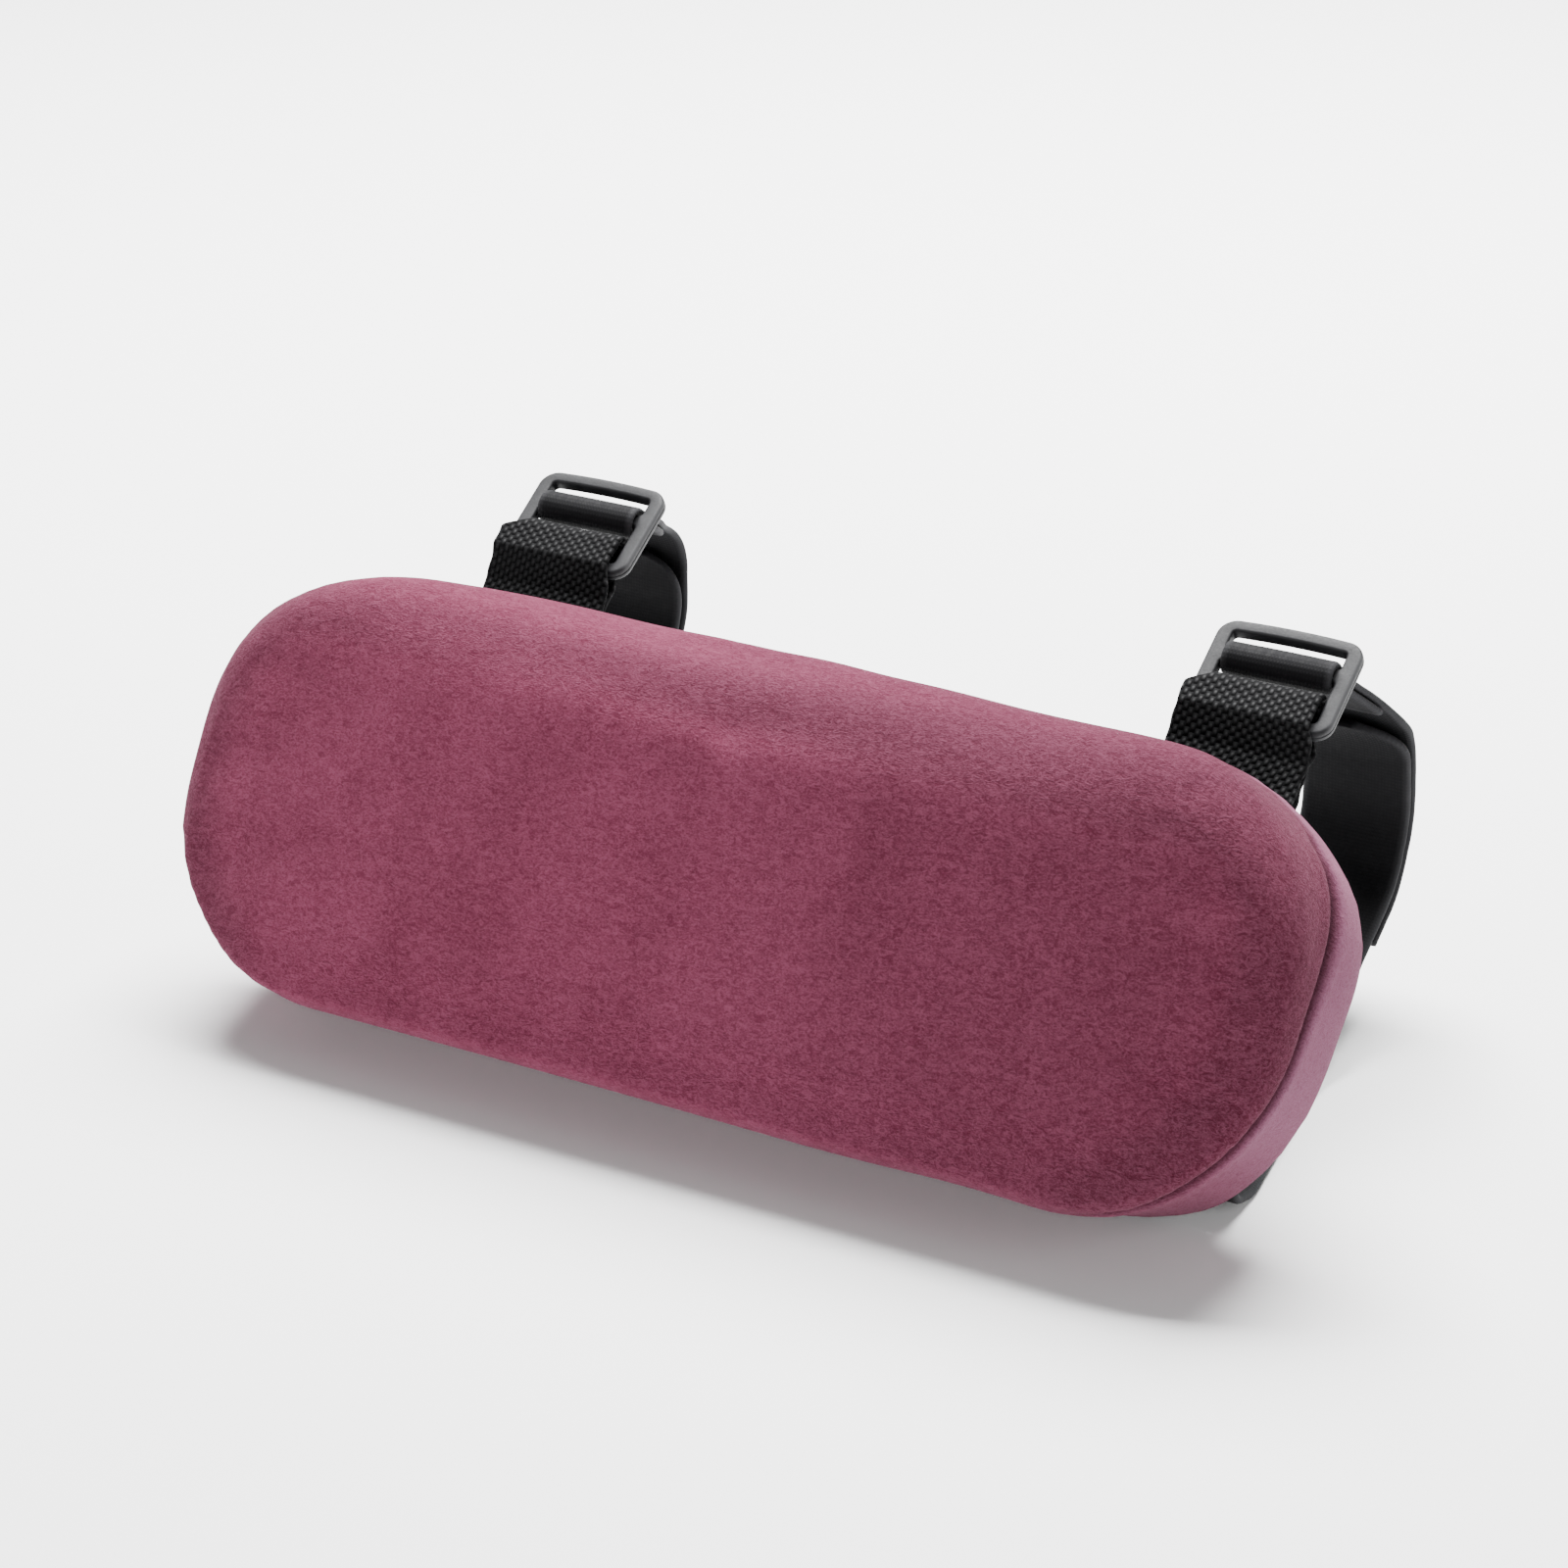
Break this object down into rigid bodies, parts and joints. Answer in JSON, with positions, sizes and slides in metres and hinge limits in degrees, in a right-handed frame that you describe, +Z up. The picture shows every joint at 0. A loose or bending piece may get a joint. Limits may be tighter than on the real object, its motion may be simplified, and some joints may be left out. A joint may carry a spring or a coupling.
{
  "type": "chair armrest pad",
  "caption": "Soft plush cushion that straps onto a chair armrest with buckled hook-and-loop strap loops, shown leaning back on them.",
  "frame": {"origin": "on the ground under the middle of the footprint, as the pad stands on the lower edge of its base and on its two strap loops", "axes": "+X along the pad's length, +Y away from the arm-side face towards the strap loops, +Z up"},
  "size_m": [0.25, 0.1562, 0.0907],
  "materials": {
    "velvet": "matte",
    "foam": "matte",
    "base_fabric": "matte",
    "webbing": "matte",
    "strap": "matte",
    "hook_tape": "matte",
    "buckle_plastic": "satin",
    "thread": "matte",
    "zip_tape": "matte",
    "zip_coil": "satin",
    "zip_metal": "satin"
  },
  "bodies": {
    "pad": {"foam_core": "foam", "cover_top_panel": "velvet", "cover_side_band": "velvet", "cover_base_panel": "base_fabric", "zip_tape_upper": "zip_tape", "zip_tape_lower": "zip_tape", "zip_coil": "zip_coil", "zip_stop_left": "zip_metal", "zip_stop_right": "zip_metal", "webbing_tail_left": "webbing", "webbing_tail_right": "webbing", "webbing_stitch_left": "thread", "webbing_stitch_right": "thread", "lower_strap_left": "strap", "lower_strap_right": "strap", "strap_stitch_left": "thread", "strap_stitch_right": "thread"},
    "zip_slider": {"zip_slider": "zip_metal"},
    "zip_pull": {"zip_pull": "zip_metal"},
    "left_webbing": {"webbing_loop_left": "webbing"},
    "left_buckle": {"buckle_left": "buckle_plastic"},
    "left_outer_strap": {"outer_strap_left": "strap", "hook_patch_left": "hook_tape"},
    "left_inner_strap": {"inner_strap_left": "strap"},
    "right_webbing": {"webbing_loop_right": "webbing"},
    "right_buckle": {"buckle_right": "buckle_plastic"},
    "right_outer_strap": {"outer_strap_right": "strap", "hook_patch_right": "hook_tape"},
    "right_inner_strap": {"inner_strap_right": "strap"}
  },
  "joints": [
    {"name": "zip_slide", "type": "slide", "parent": "pad", "child": "zip_slider", "axis": [-1, 0, 0], "range_m": [0, 0.094]},
    {"name": "zip_pull_swing", "type": "hinge", "parent": "zip_slider", "child": "zip_pull", "pos_m": [0.0475, -0.02083, 0.03581], "axis": [0, 0.5, 0.866], "range_deg": [-85, 85]},
    {"name": "left_webbing_fold", "type": "hinge", "parent": "pad", "child": "left_webbing", "pos_m": [-0.0835, 0.02302, 0.07284], "axis": [1, 0, 0], "range_deg": [0, 60]},
    {"name": "left_buckle_rock", "type": "hinge", "parent": "left_webbing", "child": "left_buckle", "pos_m": [-0.0835, 0.02873, 0.07705], "axis": [1, 0, 0], "range_deg": [0, 3]},
    {"name": "left_strap_rock", "type": "hinge", "parent": "left_buckle", "child": "left_outer_strap", "pos_m": [-0.0835, 0.04103, 0.08415], "axis": [1, 0, 0], "range_deg": [0, 5]},
    {"name": "left_tongue_lift", "type": "hinge", "parent": "pad", "child": "left_inner_strap", "pos_m": [-0.0835, 0.03432, 0.00858], "axis": [1, 0, 0], "range_deg": [0, 15]},
    {"name": "right_webbing_fold", "type": "hinge", "parent": "pad", "child": "right_webbing", "pos_m": [0.0835, 0.02189, 0.07048], "axis": [1, 0, 0], "range_deg": [0, 60]},
    {"name": "right_buckle_rock", "type": "hinge", "parent": "right_webbing", "child": "right_buckle", "pos_m": [0.0835, 0.02785, 0.07433], "axis": [1, 0, 0], "range_deg": [0, 3]},
    {"name": "right_strap_rock", "type": "hinge", "parent": "right_buckle", "child": "right_outer_strap", "pos_m": [0.0835, 0.04015, 0.08142], "axis": [1, 0, 0], "range_deg": [0, 5]},
    {"name": "right_tongue_lift", "type": "hinge", "parent": "pad", "child": "right_inner_strap", "pos_m": [0.0835, 0.0326, 0.00958], "axis": [1, 0, 0], "range_deg": [0, 15]}
  ],
  "couplings": [
    {"joint": "left_tongue_lift", "follows": "left_webbing_fold", "ratio": 0.25},
    {"joint": "right_tongue_lift", "follows": "right_webbing_fold", "ratio": 0.25}
  ]
}
